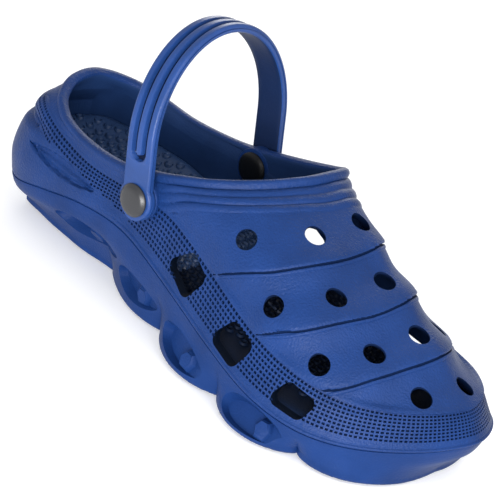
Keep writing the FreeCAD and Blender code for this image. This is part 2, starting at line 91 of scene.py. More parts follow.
SEAT_Z = [(0, 31), (40, 30), (80, 30.5), (110, 29.5), (150, 24), (190, 19), (235, 18),
          (265, 20.5), (300, 25)]
MID_Y = [(0, 0), (60, -1), (115, -2), (205, -4.5), (250, -2), (288, 3)]
LOBES = [(-30, 81, 2.0), (81, 129, 8.5), (129, 180, 11.0), (180, 233, 11.0), (233, 290, 11.0)]
LOBE_FULLNESS = 0.7
LOBE_Z = 5.0
TREAD_ROUND = 5.0

# Leaf recesses of the sole: x, height, half length, half height, tilt in degrees.
LENSES = [(70, 19, 22, 6.5, 6), (112, 13.5, 17.5, 6.6, -2),
          (158, 10.8, 19.5, 6.3, -8), (211, 9.4, 21, 6.2, -2)]
POST_AHEAD = 4.5
INSOLE_THICK = 5.0
WALL = 4.2
LIP_R = 2.4
INSIDE_AT_SEAM = 8.0
INSIDE_EXTRA = 0.6

# Steps between the panels of the vamp, from the lateral band edge to the medial one: x, y, z.
STEPS = [
    [(157, -47.3, 51.8), (162.5, -47.3, 55.8), (168.2, -47.1, 59.6), (176.2, -45.4, 64.4),
     (183.2, -42.1, 68.1), (188.9, -36.3, 71.7), (194.2, -26.1, 74.6), (197.4, -11.5, 75.7),
     (198.4, 0, 76.7), (197.6, 11, 77.2), (193, 23, 74), (184, 34, 66), (172, 40, 56),
     (163, 41.5, 49)],
    [(192.5, -51.6, 42.8), (196, -51.3, 45.4), (200.9, -50.3, 48.7), (209.7, -46.5, 54.3),
     (214.7, -41.3, 57.7), (218.4, -34.2, 60.3), (221.6, -25.5, 62), (224, -16.1, 63),
     (225.3, -5.9, 64.5), (225.3, 4, 65.9), (222, 16, 64), (214, 29, 58), (204, 38, 49),
     (196, 41.5, 42)],
    [(229, -49.6, 36.2), (233.2, -47.7, 37.8), (240, -41.7, 42.4), (244.4, -32.4, 46.4),
     (247.1, -23.9, 48.6), (249.4, -15, 50.8), (251.4, -5.3, 52.5), (251.8, 6, 53.6),
     (248, 18, 51), (241, 29, 45), (233, 37, 39)],
]
VENTS = [(164, -40.5), (183, -17), (185, 12), (167, 34), (193.5, -47), (210, -26), (213, 3), (203, 29),
         (225.5, -46), (237, -24), (240, 2), (233, 27), (262, -15), (266, 11)]
VENT_R = 5.0
WINDOWS = [
    [(128, 41.5), (141.5, 54), (155.5, 47.5), (147.5, 32.5)],
    [(170, 28.5), (179, 42), (195.5, 38), (190, 24)],
    [(212, 23), (218, 35), (234.5, 32.5), (231, 21.8)],
]
MEDIAL_WINDOWS = [
    [(129, 42), (142.5, 54.5), (156.5, 48), (148.5, 33)],
    [(167, 27.5), (176, 41), (192.5, 37), (187, 23)],
    [(206, 22.5), (209.5, 30), (227, 29), (225, 21)],
]
WINDOW_ROUND = 4.0
WINDOW_ROUND_SHARE = 0.32
LATERAL_SPAN = (-75.0, -38.0)
MEDIAL_SPAN = (30.0, 65.0)

PIVOT_X = 102.0
PIVOT_Z = 59.0
PAD_LATERAL = (-43.4, -36.0)
PAD_MEDIAL = (41.2, 33.8)
STRAP_GAP = 0.35
STRAP_HALF_WIDTH = 8.2
STRAP_THICK = 4.0
STRAP_TOP = 79.5
STRAP_STRAIGHT = 27.0
STRAP_LEAN = math.radians(12.5)
EYE_R = 10.0
PAD_R = 10.0
BUTTON_R = 8.0
BUTTON_H = 3.0
CAP_R = 8.2
CAP_H = 2.6
HEAD_SIDES = 72
HEAD_GAP = 0.15


# ---------------------------------------------------------------- curves and rings
def hermite(xs, ys, x):
    """Smooth values at x through the points xs, ys. ys may have several columns."""
    xs = np.asarray(xs, float)
    ys = np.asarray(ys, float)
    x = np.clip(x, xs[0], xs[-1])
    i = np.clip(np.searchsorted(xs, x, side="right") - 1, 0, len(xs) - 2)
    low = np.maximum(np.arange(len(xs)) - 1, 0)
    high = np.minimum(np.arange(len(xs)) + 1, len(xs) - 1)
    run = xs[high] - xs[low]
    slope = (ys[high] - ys[low]) / (run[:, None] if ys.ndim > 1 else run)
    h = xs[i + 1] - xs[i]
    t = (x - xs[i]) / h
    if ys.ndim > 1:
        h = h[..., None]
        t = t[..., None]
    return ((2 * t ** 3 - 3 * t ** 2 + 1) * ys[i] + (t ** 3 - 2 * t ** 2 + t) * slope[i] * h
            + (3 * t ** 2 - 2 * t ** 3) * ys[i + 1] + (t ** 3 - t ** 2) * slope[i + 1] * h)


def at(profile, x):
    points = np.array(profile, float)
    return hermite(points[:, 0], points[:, 1], x)


# Further than anything on the shoe lies from anything else.
FAR = 1e3


def unit(v):
    return v / np.maximum(np.linalg.norm(v, axis=-1, keepdims=True), 1e-9)


def smoothstep(low, high, x):
    t = np.clip((x - low) / (high - low), 0, 1)
    return t * t * (3 - 2 * t)


class Around:
    """Stations at the given fractions of the way round the outline."""

    def __init__(self, fractions):
        wrap = 3
        rows = np.vstack([STATIONS[-wrap:], STATIONS, STATIONS[:wrap]])
        legs = np.hypot(*np.diff(rows[:, :2], axis=0).T)
        t = np.concatenate([[0], np.cumsum(legs)])
        start = t[wrap]
        self.length = t[wrap + len(STATIONS)] - start
        s = start + self.length * (np.asarray(fractions) % 1.0)
        v = hermite(t, rows, s)
        d = hermite(t, rows, s + 0.5) - hermite(t, rows, s - 0.5)
        zero = np.zeros(len(s))
        self.base = np.column_stack([v[:, 0], v[:, 1], zero])
        self.normal = unit(np.column_stack([-d[:, 1], d[:, 0], zero]))
        self.top = v[:, 2:5]
        self.power = v[:, 5]
        self.x = v[:, 0]

    def ring(self, inset, z):
        points = self.base + self.normal * np.reshape(inset * np.ones(len(self.x)), (-1, 1))
        points[:, 2] = z
        return points


def rounded(low, high, power, share):
    """Points on the rounded rise from low to high at one share or a share for each."""
    angle = np.clip(share, 0, 1) * math.pi / 2
    plan = (1 - np.cos(angle) ** (2 / power))[:, None]
    rise = np.sin(angle) ** (2 / power)
    points = low + (high - low) * plan
    points[:, 2] = low[:, 2] + (high[:, 2] - low[:, 2]) * rise
    return points


def grid_normals(grid):
    """Normals of a grid of rows (upwards) by closed columns, facing out of the shoe."""
    along = np.roll(grid, -1, axis=1) - np.roll(grid, 1, axis=1)
    up = np.gradient(grid, axis=0)
    return unit(np.cross(along, up))


def topline_frame(st, band_top):
    """Directions up and out at the topline."""
    up = unit(st.top - rounded(band_top, st.top, st.power, 0.75 * np.ones(len(st.x))))
    up = unit(up + np.array([0, 0, 0.6]))
    for _ in range(12):
        up = unit(np.roll(up, 1, axis=0) + 2 * up + np.roll(up, -1, axis=0))
    along = np.roll(st.top, -1, axis=0) - np.roll(st.top, 1, axis=0)
    out = unit(np.cross(along, up))
    return up, out


def lobe_in(x):
    """Inset of the widest line of the sole's lobes."""
    inset = at(NOTCH_IN, x)
    for start, end, reach in LOBES:
        t = np.clip((x - start) / (end - start), 0, 1)
        inset = inset - reach * np.maximum(np.sin(math.pi * t), 0) ** LOBE_FULLNESS
    return inset


def shelf_in(x):
    return at(SEAM_IN, x) + 1.0 + 0.12 * np.maximum(lobe_in(x), 0)


def middle_in(x):
    return 0.55 * lobe_in(x) + 0.45 * shelf_in(x)


def middle_height(x):
    """Height halfway between the seam and the lower key line of the band."""
    return 0.55 * at(SEAM_Z, x) + 0.45 * at(BAND_LOW_Z, x)


def wall_in(x, z):
    """Inset of the inside of the wall at a height above the seat."""
    seam = at(SEAM_Z, x)
    low = at(BAND_LOW_Z, x)
    middle = middle_height(x)
    a = at(SEAM_IN, x) + INSIDE_AT_SEAM
    b = np.maximum(at(SEAM_IN, x), at(BAND_LOW_IN, x)) + 5.4
    c = at(BAND_LOW_IN, x) + WALL + INSIDE_EXTRA
    below = a + (b - a) * np.clip((z - seam) / (middle - seam), 0, 1)
    above = b + (c - b) * np.clip((z - middle) / (low - middle), 0, 1)
    return np.where(z < middle, below, above)


# ---------------------------------------------------------------- meshes
def packed(points):
    return (np.asarray(points) - TREAD_CENTRE) * MM


def new_object(name, points, faces, materials, indices=None, smooth=35):
    """Mesh object from shoe-frame points, shaded smooth up to an angle in degrees."""
    mesh = bpy.data.meshes.new(name)
    mesh.from_pydata(packed(points).tolist(), [], [list(f) for f in faces])
    for m in materials:
        mesh.materials.append(m)
    if indices is not None:
        mesh.polygons.foreach_set("material_index", np.asarray(indices, np.int32))
    mesh.validate()
    obj = bpy.data.objects.new(name, mesh)
    bpy.context.collection.objects.link(obj)
    outward(mesh)
    shade(obj, smooth)
    return obj


def outward(mesh):
    """Turn the faces of a closed mesh outwards."""
    bm = bmesh.new()
    bm.from_mesh(mesh)
    bmesh.ops.recalc_face_normals(bm, faces=bm.faces)
    bm.to_mesh(mesh)
    bm.free()


def shade(obj, angle):
    mesh = obj.data
    mesh.polygons.foreach_set("use_smooth", [True] * len(mesh.polygons))
    mesh.set_sharp_from_angle(angle=math.radians(angle))
    mesh.update()


def quads(rows, cols, closed_rows=False):
    """Faces of a grid with closed columns and, for a tube, closed rows."""
    r = np.arange(rows if closed_rows else rows - 1)[:, None]
    c = np.arange(cols)[None, :]
    r2 = (r + 1) % rows
    c2 = (c + 1) % cols
    return np.stack([r * cols + c, r * cols + c2, r2 * cols + c2, r2 * cols + c], axis=-1).reshape(-1, 4)


def cap_fan(row_start, cols, apex, flip):
    c = np.arange(cols)
    tri = np.column_stack([row_start + c, row_start + (c + 1) % cols, np.full(cols, apex)])
    return tri[:, ::-1] if flip else tri


def subtract(obj, cutters, smooth=35, joined=()):
    """Join some objects to obj, cut others from it, and throw them all away."""
    cutters = list(joined) + list(cutters)
    for cutter in cutters:
        mod = obj.modifiers.new("cut", "BOOLEAN")
        mod.operation = "UNION" if cutter in joined else "DIFFERENCE"
        mod.solver = "MANIFOLD"
        mod.material_mode = "TRANSFER"
        mod.object = cutter
    mesh = bpy.data.meshes.new_from_object(obj.evaluated_get(bpy.context.evaluated_depsgraph_get()))
    obj.modifiers.clear()
    old = obj.data
    obj.data = mesh
    mesh.name = obj.name
    bpy.data.meshes.remove(old)
    for cutter in cutters:
        bpy.data.objects.remove(cutter)
    shade(obj, smooth)


def lathe(name, profile, centre, axis, materials, sides=64, smooth=35):
    """Closed solid turned about an axis from (radius, height) points, first and last on the axis."""
    axis = unit(np.asarray(axis, float))
    side = unit(np.cross(axis, [0.3, 0.1, 0.9]))
    other = np.cross(axis, side)
    angle = np.linspace(0, 2 * math.pi, sides, endpoint=False)
    spokes = np.cos(angle)[:, None] * side + np.sin(angle)[:, None] * other
    inner = profile[1:-1]
    rings = [centre + axis * h + spokes * r for r, h in inner]
    points = np.vstack(rings + [[centre + axis * profile[0][1]], [centre + axis * profile[-1][1]]])
    count = len(inner) * sides
    faces = [tuple(f) for f in quads(len(inner), sides)]
    faces += [tuple(f) for f in cap_fan(0, sides, count, True)]
    faces += [tuple(f) for f in cap_fan(count - sides, sides, count + 1, False)]
    return new_object(name, points, faces, materials, smooth=smooth)


def prism(name, polygon, y0, y1, materials):
    """Straight prism in y from a polygon of x, z points."""
    polygon = np.asarray(polygon, float)
    n = len(polygon)
    ends = [np.column_stack([polygon[:, 0], np.full(n, y), polygon[:, 1]]) for y in (y0, y1)]
    faces = [tuple(f) for f in quads(2, n)] + [tuple(range(n))[::-1], tuple(range(n, 2 * n))]
    return new_object(name, np.vstack(ends), faces, materials)


def rounded_polygon(corners, radius, steps=8):
    """Polygon with its corners rounded to a radius."""
    points = []
    n = len(corners)
    for i in range(n):
        p = np.array(corners[i], float)
        a = unit(np.array(corners[i - 1], float) - p)
        b = unit(np.array(corners[(i + 1) % n], float) - p)
        half = math.acos(float(np.clip(a @ b, -1, 1))) / 2
        reach = radius / math.tan(half)
        centre = p + unit(a + b) * radius / math.sin(half)
        start = p + a * reach - centre
        end = p + b * reach - centre
        for t in np.linspace(0, 1, steps):
            points.append(centre + unit(start * (1 - t) + end * t) * radius)
    return points


# ---------------------------------------------------------------- materials
def material(name, colour, roughness, specular):
    m = bpy.data.materials.new(name)
    m.use_nodes = True
    shader = m.node_tree.nodes["Principled BSDF"]
    shader.inputs["Base Color"].default_value = (*colour, 1)
    shader.inputs["Roughness"].default_value = roughness
    shader.inputs["Specular IOR Level"].default_value = specular
    return m, m.node_tree, shader


GRAIN_SCALE = 1000.0
GRAIN_DEPTH = 0.0005
CLOUD_SCALE = 60.0
CLOUD_SHADES = (0.88, 1.12)


def grain(tree, shader, strength, low, high):
    """Fine leather-like grain in the bump, and slight cloudiness in the colour."""
    place = tree.nodes.new("ShaderNodeTexCoord")
    fine = tree.nodes.new("ShaderNodeTexNoise")
    fine.inputs["Scale"].default_value = GRAIN_SCALE
    fine.inputs["Detail"].default_value = 2.0
    bump = tree.nodes.new("ShaderNodeBump")
    bump.inputs["Strength"].default_value = strength
    bump.inputs["Distance"].default_value = GRAIN_DEPTH
    cloud = tree.nodes.new("ShaderNodeTexNoise")
    cloud.inputs["Scale"].default_value = CLOUD_SCALE
    cloud.inputs["Detail"].default_value = 4.0
    ramp = tree.nodes.new("ShaderNodeValToRGB")
    ramp.color_ramp.elements[0].position = 0.3
    ramp.color_ramp.elements[1].position = 0.7
    ramp.color_ramp.elements[0].color = (*low, 1)
    ramp.color_ramp.elements[1].color = (*high, 1)
    tree.links.new(place.outputs["Object"], fine.inputs["Vector"])
    tree.links.new(place.outputs["Object"], cloud.inputs["Vector"])
    tree.links.new(fine.outputs["Fac"], bump.inputs["Height"])
    tree.links.new(cloud.outputs["Fac"], ramp.inputs["Fac"])
    tree.links.new(ramp.outputs["Color"], shader.inputs["Base Color"])
    tree.links.new(bump.outputs["Normal"], shader.inputs["Normal"])


def foam(name, colour, roughness, specular, strength=0.35):
    m, tree, shader = material(name, colour, roughness, specular)
    low, high = (tuple(c * share for c in colour) for share in CLOUD_SHADES)
    grain(tree, shader, strength, low, high)
    return m


BLUE = foam("blue_foam", (0.0076, 0.0295, 0.124), 0.42, 0.13, strength=0.9)
SOLE_BLUE = foam("sole_foam", (0.0074, 0.0285, 0.120), 0.45, 0.08, strength=0.5)
# Inside of the wall: the same foam painted darker, as painted shade inside the clog.
INNER_WALL_SHADE = foam("inner_wall_painted_shade", (0.010, 0.030, 0.10), 0.6, 0.1)
SHADE = foam("window_edge", (0.0012, 0.0035, 0.010), 0.7, 0.05)
# Pit floors and the walls of the step grooves: the foam painted near black, as painted shade in the
# hollows.
PIT_SHADE = foam("pit_floor_painted_shade", (0.0030, 0.011, 0.045), 0.8, 0.05)
# Walls of the vent holes: the foam painted near black, as painted shade inside the holes.
VENT_WALL_SHADE = foam("vent_wall_painted_shade", (0.0022, 0.008, 0.032), 0.7, 0.05)
FOOTBED = foam("footbed", (0.022, 0.050, 0.13), 0.38, 0.3)
# Front of the footbed and its cups: the same foam painted much darker, as painted shade under the vamp.
FOOTBED_FRONT_SHADE = foam("footbed_front_painted_shade", (0.003, 0.008, 0.024), 0.6, 0.1)
STRAP_BLUE = foam("strap_foam", (0.013, 0.045, 0.175), 0.34, 0.3, strength=0.2)
# Floor of the strap's grooves: the foam painted near black, as painted shade.
STRAP_GROOVE_SHADE = foam("strap_groove_painted_shade", (0.0015, 0.005, 0.022), 0.5, 0.1, strength=0.2)
# Inside face of the strap: the strap foam painted darker, as painted shade.
STRAP_INSIDE_SHADE = foam("strap_inside_painted_shade", (0.005, 0.015, 0.055), 0.5, 0.2, strength=0.2)
TAUPE = foam("rivet_gunmetal", (0.019, 0.020, 0.0235), 0.34, 0.5, strength=0.1)
DARK_CAP = foam("rivet_dark", (0.003, 0.0035, 0.0045), 0.4, 0.25, strength=0.15)


# ---------------------------------------------------------------- upper: shell
def along_path(points, count):
    """Evenly spaced points on a smooth line through the given ones."""
    points = np.asarray(points, float)
    t = np.concatenate([[0], np.cumsum(np.linalg.norm(np.diff(points, axis=0), axis=1))])
    return hermite(t, points, np.linspace(0, t[-1], count))


PANEL_FLARE = 1.3
PANEL_FLARE_LENGTH = 9.0
PANEL_DIP = 1.4
PANEL_DIP_AHEAD = 11.0
PANEL_DIP_LENGTH = 8.0
STEP_SPAN = (-0.9, 1.3)
# Points measured at a time, to save memory.
CHUNK = 4000


def panel_relief(grid):
    """Flare of each panel towards its front edge, the step down and the dip behind it."""
    flat = grid.reshape(-1, 3)
    relief = np.zeros(len(flat))
    for path in STEPS:
        line = along_path(path, 240)
        nearest = np.empty(len(flat), int)
        for k in range(0, len(flat), CHUNK):
            away = flat[k:k + CHUNK, None, :] - line[None, :, :]
            nearest[k:k + CHUNK] = np.argmin((away ** 2).sum(axis=2), axis=1)
        offset = flat - line[nearest]
        run = np.gradient(line, axis=0)[nearest]
        ahead = np.sign(run[:, 1] * offset[:, 0] - run[:, 0] * offset[:, 1])
        gap = ahead * np.linalg.norm(offset, axis=1)
        step = smoothstep(*STEP_SPAN, gap)
        flare = PANEL_FLARE * np.exp(-(np.minimum(gap, 0) / PANEL_FLARE_LENGTH) ** 2)
        dip = -PANEL_DIP * np.exp(-((gap - PANEL_DIP_AHEAD) / PANEL_DIP_LENGTH) ** 2)
        relief += flare * (1 - step) + dip * step
    return relief.reshape(grid.shape[:2])


RIB_PITCH = 5.2
RIB_COUNT = 3
RIB_HEIGHT = 1.1
RIB_SINK = 0.45
RIB_FULLNESS = 0.55
RIBS_FADE_IN = (98, 122)


def rib_relief(distance, x):
    """Rounded ribs under the front of the collar, by distance below the lip."""
    wave = np.abs(np.sin(math.pi * distance / RIB_PITCH)) ** RIB_FULLNESS
    on = (distance < RIB_PITCH * RIB_COUNT) * smoothstep(*RIBS_FADE_IN, x)
    return on * (RIB_HEIGHT * wave - RIB_SINK)


SHELL_COLS = 480
COLLAR = 16.4
COLLAR_ROWS = 30
VAMP_ROWS = 112
MEASURE_ROWS = 160
BEHIND_BAND = 2.9


def rise_rows(st, band_top, lip_low, below, total, lengths, shares):
    """Rows of points at distances below the lip, along the rounded rise."""
    out = []
    for d in below:
        share = np.array([np.interp(total[c] - d[c], lengths[:, c], shares) for c in range(len(st.x))])
        out.append(rounded(band_top, lip_low, st.power, share))
    return np.array(out)


def make_shell():
    st = Around(np.arange(SHELL_COLS) / SHELL_COLS)
    band_top = st.ring(at(BAND_TOP_IN, st.x), at(BAND_TOP_Z, st.x))
    up, out = topline_frame(st, band_top)
    lip_low = st.top - up * LIP_R
    shares = np.linspace(0, 1, MEASURE_ROWS)
    fine = np.array([rounded(band_top, lip_low, st.power, s * np.ones(SHELL_COLS)) for s in shares])
    legs = np.linalg.norm(np.diff(fine, axis=0), axis=2)
    lengths = np.vstack([np.zeros(SHELL_COLS), np.cumsum(legs, axis=0)])
    total = lengths[-1]
    collar = np.minimum(COLLAR, total * 0.7)
    low_part = [total - (total - collar) * k / VAMP_ROWS for k in range(VAMP_ROWS)]
    high_part = [collar * (1 - k / COLLAR_ROWS) for k in range(COLLAR_ROWS + 1)]
    below = np.array(low_part + high_part)
    grid = rise_rows(st, band_top, lip_low, below, total, lengths, shares)
    normals = grid_normals(grid)
    x = grid[:, :, 0]
    from_edge = total[None, :] - below
    relief = panel_relief(grid) * smoothstep(0, 4, from_edge) * smoothstep(12, 22, below)
    relief += rib_relief(below, x) * smoothstep(0, 3, from_edge)
    relief += 0.5 * np.exp(-(from_edge / 2.2) ** 2)
    outer = grid + normals * relief[:, :, None]

    # Rounded lip over the topline, then the inside of the wall down to the seam.
    def lip(out_by, up_by):
        return st.top + out * out_by + up * up_by

    half = WALL / 2
    lips = [lip(0.9, -0.6), lip(0.95, 0.4), lip(0.6, LIP_R * 0.6), lip(-0.3, LIP_R * 0.95),
            lip(-half, LIP_R * 1.12), lip(-half - LIP_R * 0.7, LIP_R * 0.9),
            lip(-half - LIP_R, LIP_R * 0.45), lip(-WALL - 0.5, -0.4)]
    inner = [grid[k] - normals[k] * WALL for k in range(len(grid) - 4, 0, -4)]
    inner.append(st.ring(at(BAND_LOW_IN, st.x) + WALL + INSIDE_EXTRA, at(BAND_LOW_Z, st.x)))
    middle_z = middle_height(st.x)
    inner.append(st.ring(wall_in(st.x, middle_z), middle_z))
    inner.append(st.ring(at(SEAM_IN, st.x) + INSIDE_AT_SEAM, at(SEAM_Z, st.x)))
    # The part behind the band, back up to the vamp's lower edge.
    behind = [st.ring(at(SEAM_IN, st.x) + BEHIND_BAND, at(SEAM_Z, st.x) + 0.4),
              st.ring(at(SEAM_IN, st.x) * 0.3 + BEHIND_BAND, middle_z),
              st.ring(at(BAND_LOW_IN, st.x) + BEHIND_BAND, at(BAND_LOW_Z, st.x)),
              grid[0] - normals[0] * BEHIND_BAND,
              grid[0] - normals[0] * 0.7]
    rings = np.array(list(outer) + lips + inner + behind)
    faces = quads(len(rings), SHELL_COLS, closed_rows=True)
    row = np.repeat(np.arange(len(rings)), SHELL_COLS)
    # The inside rows of the wall take the darker copy of the foam, as painted shade.
    inner_wall_shade_rows = (row >= len(outer) + len(lips) - 2) & (row < len(outer) + len(lips) + len(inner))
    return new_object("upper_shell", rings.reshape(-1, 3), faces, [BLUE, INNER_WALL_SHADE], inner_wall_shade_rows.astype(int))


def swept(name, path, radii, materials, sides=12):
    """Round bar through the path points with a radius at each."""
    path = np.asarray(path)
    tangent = unit(np.gradient(path, axis=0))
    side = unit(np.cross(tangent, [0, 0, 1.0]))
    other = np.cross(side, tangent)
    angle = np.linspace(0, 2 * math.pi, sides, endpoint=False)
    rings = [p + r * (np.cos(angle)[:, None] * s + np.sin(angle)[:, None] * o)
             for p, r, s, o in zip(path, radii, side, other)]
    n = len(path)
    faces = [tuple(f) for f in quads(n, sides)]
    faces += [tuple(range(sides))[::-1], tuple(range((n - 1) * sides, n * sides))]
    return new_object(name, np.vstack(rings), faces, materials)


ABOVE_ALL = 150.0


def drop(tree, x, y):
    """Point where the vamp lies under x, y, in the shoe frame."""
    hit = tree.ray_cast(Vector(packed([x, y, ABOVE_ALL])), Vector((0, 0, -1)))[0]
    return np.array(hit) / MM + TREAD_CENTRE


def surface(tree, point):
    """Nearest point of the shell and its normal there, in the shoe frame."""
    hit, normal = tree.find_nearest(Vector(packed(point)))[:2]
    return np.array(hit) / MM + TREAD_CENTRE, np.array(normal)


def evened(points):
    """Points with small jumps along the line smoothed out."""
    points = points.copy()
    for _ in range(6):
        points[1:-1] = (points[:-2] + 2 * points[1:-1] + points[2:]) / 4
    return points


BEAD_AHEAD = 1.9
BEAD_R = 1.1
BEAD_RISE = 0.6
GROOVE_R = 0.68
GROOVE_SINK = 0.15
LINE_STEPS = 150
LINE_END = 0.55
LINE_SWELL = 9
VENT_PROFILE = [(0, -9), (VENT_R + 4, -9), (VENT_R + 2.6, -4.5), (VENT_R + 0.2, -1.1),
                (VENT_R, -0.5), (VENT_R + 0.15, -0.15), (VENT_R + 0.5, 0.25), (VENT_R + 1.2, 3),
                (0, 3)]
VENT_STEP = 2.5


def window_cutters(materials):
    cutters = []
    for windows, span in ((WINDOWS, LATERAL_SPAN), (MEDIAL_WINDOWS, MEDIAL_SPAN)):
        for corners in windows:
            shortest = min(math.dist(a, b) for a, b in zip(corners, corners[1:] + corners[:1]))
            outline = rounded_polygon(corners, min(WINDOW_ROUND, WINDOW_ROUND_SHARE * shortest))
            cutters.append(prism("window", outline, *span, materials))
    return cutters


def cut_shell(shell):
    """Cut the grooves, vents and windows, and lay a bead in front of each groove."""
    tree = BVHTree.FromObject(shell, bpy.context.evaluated_depsgraph_get())
    cutters = []
    beads = []
    for path in STEPS:
        line = along_path(path, LINE_STEPS)
        run = unit(np.gradient(line, axis=0))
        near = [surface(tree, p) for p in line]
        normal = np.array([n for p, n in near])
        for _ in range(8):
            normal[1:-1] = unit(normal[:-2] + 2 * normal[1:-1] + normal[2:])
        ahead = unit(np.cross(run, normal))
        edge = evened(np.array([p for p, n in near]))
        front = evened(np.array([surface(tree, p)[0] for p in edge + ahead * BEAD_AHEAD]))
        share = np.linspace(0, 1, len(line))
        taper = np.minimum(1, LINE_END + np.minimum(share, 1 - share) * LINE_SWELL)
        # The groove cutter gives its cut walls the near-black foam, as painted shade.
        cutters.append(swept("groove", edge - normal * GROOVE_SINK, GROOVE_R * taper, [PIT_SHADE]))
        beads.append(swept("bead", front - normal * (BEAD_R - BEAD_RISE), BEAD_R * taper, [BLUE]))
    for x, y in VENTS:
        p = drop(tree, x, y)
        a = drop(tree, x + VENT_STEP, y) - drop(tree, x - VENT_STEP, y)
        b = drop(tree, x, y + VENT_STEP) - drop(tree, x, y - VENT_STEP)
        # The vent cutter gives the hole walls the near-black foam, as painted shade.
        cutters.append(lathe("vent", VENT_PROFILE, p, np.cross(a, b), [VENT_WALL_SHADE], sides=40))
    subtract(shell, cutters + window_cutters([SHADE]), joined=beads)


# ---------------------------------------------------------------- upper: perforated band
PITS_AROUND = 300
PIT_ROWS = 8
PIT_PITCH = 3.0
PIT_FIRST = 2.0
PIT_DEPTH = 1.2
# Half widths of a pit at its rim and floor: as shares of the pitch along, in mm across.
RIM_ALONG = 0.32
FLOOR_ALONG = 0.22
RIM_ACROSS = 0.82
FLOOR_ACROSS = 0.54
LOWER_ROWS = 26
BAND_WALL = 3.1
NOTCH_DEPTH = 3.0
NOTCH_Z = 51.0
NOTCH_WIDTH = 2.4
SWELL_HEIGHT = 1.2
SWELL_Z = 58.0
SWELL_WIDTH = 3.0
SEAM_LINE_DEPTH = 0.5
SEAM_LINE_UP = 3.4
SEAM_LINE_WIDTH = 0.55
LEAF_X = 47.0
LEAF_Z = 43.3
LEAF_HALF_LENGTH = 25.0
LEAF_HALF_HEIGHT = 4.2
LEAF_DEPTH = 2.0
LEAF_FOLD = 1.2


def leaf_relief(x, z):
    """Long leaf-shaped recess with an inner fold, low on each side of the heel."""
    s = (x - LEAF_X) / LEAF_HALF_LENGTH
    centre = LEAF_Z + 0.6 * s
    half = LEAF_HALF_HEIGHT * np.maximum(1 - s * s, 0.02)
    t = (z - centre) / half
    inside = (np.abs(s) < 1) * smoothstep(1.05, 0.75, np.abs(t))
    return inside * (-LEAF_DEPTH + LEAF_FOLD * np.exp(-((t + 0.15) / 0.28) ** 2))


def make_band():
    edges = (-RIM_ALONG, -FLOOR_ALONG, FLOOR_ALONG, RIM_ALONG)
    fractions = [(k + 0.5 + edge) / PITS_AROUND for k in range(PITS_AROUND) for edge in edges]
    st = Around(fractions)
    cols = len(fractions)
    middle_z = middle_height(st.x)
    knots = np.array([
        st.ring(at(SEAM_IN, st.x), at(SEAM_Z, st.x)),
        st.ring(at(SEAM_IN, st.x) * 0.3, middle_z),
        st.ring(at(BAND_LOW_IN, st.x), at(BAND_LOW_Z, st.x)),
        st.ring(at(BAND_TOP_IN, st.x), at(BAND_TOP_Z, st.x)),
    ])
    legs = np.linalg.norm(np.diff(knots, axis=0), axis=2)
    t = np.vstack([np.zeros(cols), np.cumsum(legs, axis=0)])
    total = t[-1]
    width = legs[2]

    def down(d):
        """Points at distances d below the top of the band."""
        s = total - d
        return np.array([hermite(t[:, c], knots[:, c], np.array(s[c])) for c in range(cols)])

    squeeze = np.minimum(1, (total - 4) / (PIT_FIRST + PIT_PITCH * PIT_ROWS + 2))
    squeeze = np.minimum(squeeze, 0.76 + 0.24 * smoothstep(60, 120, st.x))
    rows = [0 * total]
    depth = [0 * total]
    edge_of_pit = np.tile([0, 1, 1, 0], PITS_AROUND)
    for k in range(PIT_ROWS):
        for j, offset in enumerate((-RIM_ACROSS, -FLOOR_ACROSS, FLOOR_ACROSS, RIM_ACROSS)):
            rows.append((PIT_FIRST + PIT_PITCH * k + offset) * squeeze)
            open_here = (PIT_FIRST + PIT_PITCH * k) * squeeze < width - 1.2
            depth.append(PIT_DEPTH * open_here * edge_of_pit * (j in (1, 2)))
    last = rows[-1]
    for k in range(1, LOWER_ROWS + 1):
        rows.append(last + (total - last) * k / LOWER_ROWS)
        depth.append(0 * total)
    grid = np.array([down(d) for d in rows])[::-1]
    depth = np.array(depth)[::-1]
    normals = grid_normals(grid)
    x = grid[:, :, 0]
    z = grid[:, :, 2]
    # The top edge is sunk under the vamp skirt, and the seam edge is rolled in.
    below = np.array(rows)[::-1]
    height = total[None, :] - below
    sunk = 0.7 * (1 - smoothstep(0.0, 5.0, below)) + 0.9 * (1 - smoothstep(0, 1.6, height))
    depth = depth * (0.5 + 0.5 * smoothstep(4, 30, x))
    at_back = 1 - smoothstep(14, 36, x)
    notch = (SWELL_HEIGHT * np.exp(-((z - SWELL_Z) / SWELL_WIDTH) ** 2)
             - NOTCH_DEPTH * np.exp(-((z - NOTCH_Z) / NOTCH_WIDTH) ** 2))
    relief = -depth - sunk + notch * at_back
    hollow = leaf_relief(x, z)
    relief = np.where(hollow < -0.1, hollow - sunk, relief)
    depth = np.where(hollow < -0.1, 0, depth)
    seam_line = np.exp(-((height - SEAM_LINE_UP) / SEAM_LINE_WIDTH) ** 2)
    relief -= SEAM_LINE_DEPTH * seam_line * smoothstep(70, 110, x)
    outer = grid + normals * relief[:, :, None]
    inner = [grid[k] - normals[k] * BAND_WALL for k in (len(grid) - 1, len(grid) // 2, 8, 0)]
    rings = np.array(list(outer) + inner)
    faces = quads(len(rings), cols, closed_rows=True)
    # Faces of the pit floors take the near-black foam, as painted shade.
    deep = (np.array(list(depth) + [0 * total] * len(inner)) > 0).ravel()
    pit_shade_faces = deep[faces].sum(axis=1) >= 2
    band = new_object("upper_band", rings.reshape(-1, 3), faces, [BLUE, PIT_SHADE], pit_shade_faces.astype(int),
                      smooth=50)
    subtract(band, window_cutters([SHADE]), smooth=50)
    return band


# ---------------------------------------------------------------- outsole
SOLE_COLS = 720
# Rows between one key line of the sole's side and the next, from the tread up.
SIDE_ROWS = [6, 8, 10, 14, 8, 3]


